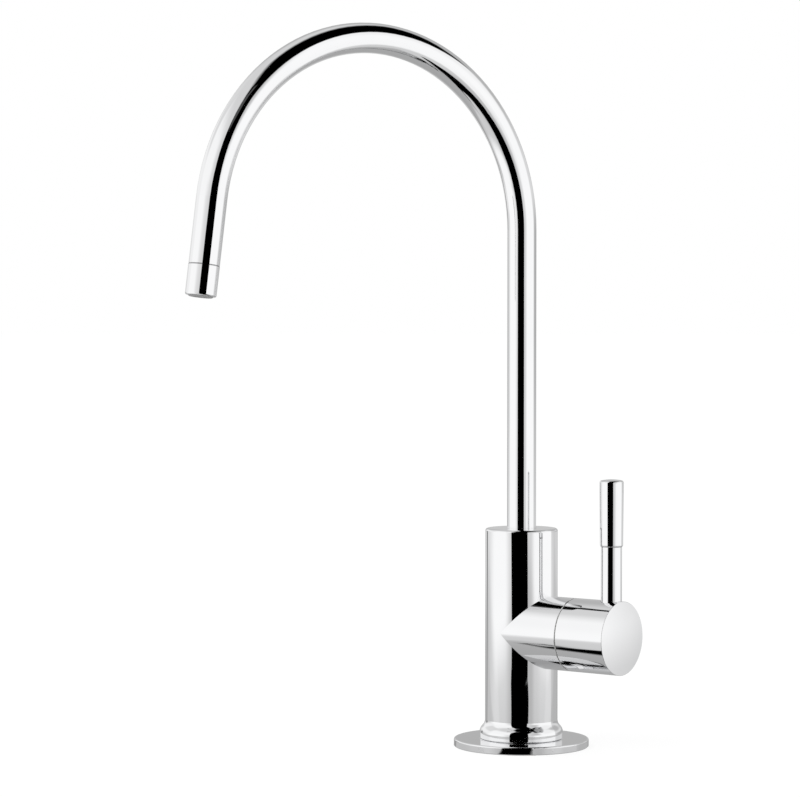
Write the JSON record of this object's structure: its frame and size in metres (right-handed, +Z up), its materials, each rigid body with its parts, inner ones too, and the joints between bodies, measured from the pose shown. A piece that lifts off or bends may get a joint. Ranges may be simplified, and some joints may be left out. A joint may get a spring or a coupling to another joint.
{
  "type": "drinking water faucet",
  "caption": "Deck-mounted gooseneck drinking-water tap: swivelling bent-tube spout on a slim column, side quarter-turn valve with an upright lever, round base plate, threaded shank.",
  "frame": {"origin": "centre of the base plate's underside, where the tap's vertical axis meets the deck", "axes": "+Z up along the column and the spout's swivel axis; +X along the valve's axis from the column to the handle; -Y is the tap's front. The spout is stored swung 16.9 degrees from the front towards -X, as in the picture"},
  "size_m": [0.0924, 0.1659, 0.3268],
  "materials": {
    "polished_chrome": "mirror-polished chrome plate over brass or steel",
    "turned_brass": "machined, fine turning marks",
    "black_rubber": "smooth moulded nitrile",
    "red_fibre": "pressed fibre washer",
    "white_ceramic": "lapped alumina ceramic",
    "white_nylon": "moulded nylon or PTFE",
    "dark_plastic": "fine moulded grain",
    "steel": "bright stainless"
  },
  "bodies": {
    "base": {"escutcheon_plate": "polished_chrome", "base_gasket": "black_rubber", "valve_body": "polished_chrome", "threaded_shank": "turned_brass", "shank_seal": "red_fibre", "cartridge_body": "turned_brass", "cartridge_seat_seal": "black_rubber", "fixed_disc": "white_ceramic", "cartridge_o_ring": "black_rubber", "cartridge_nut": "turned_brass", "glide_ring": "white_nylon", "spout_thrust_washer": "white_nylon", "spout_retaining_screw": "steel"},
    "spout": {"spout_tube": "polished_chrome", "spout_nipple": "turned_brass", "spout_o_rings": "black_rubber", "spout_wear_ring": "white_nylon", "outlet_sleeve": "polished_chrome", "outlet_o_ring": "black_rubber", "outlet_screen": "steel", "outlet_insert": "white_nylon"},
    "handle": {"handle_hub": "polished_chrome", "lever_stem": "polished_chrome", "lever_grip": "polished_chrome", "hub_set_screw": "steel", "cartridge_stem": "turned_brass", "moving_disc": "white_ceramic", "stem_o_rings": "black_rubber", "stem_clip": "steel"},
    "deck_clamp": {"rubber_washer": "black_rubber", "deck_spacer": "dark_plastic", "star_washer": "steel", "lock_nut": "turned_brass"}
  },
  "joints": [
    {"name": "spout_swivel", "type": "hinge", "parent": "base", "child": "spout", "pos_m": [0, 0, 0.0825], "axis": [0, 0, 1], "continuous": true},
    {"name": "handle_turn", "type": "hinge", "parent": "base", "child": "handle", "pos_m": [0.0246, 0, 0.0437], "axis": [1, 0, 0], "range_deg": [0, 90]},
    {"name": "clamp_travel", "type": "slide", "parent": "base", "child": "deck_clamp", "axis": [0, 0, 1], "range_m": [-0.0135, 0.018]}
  ]
}
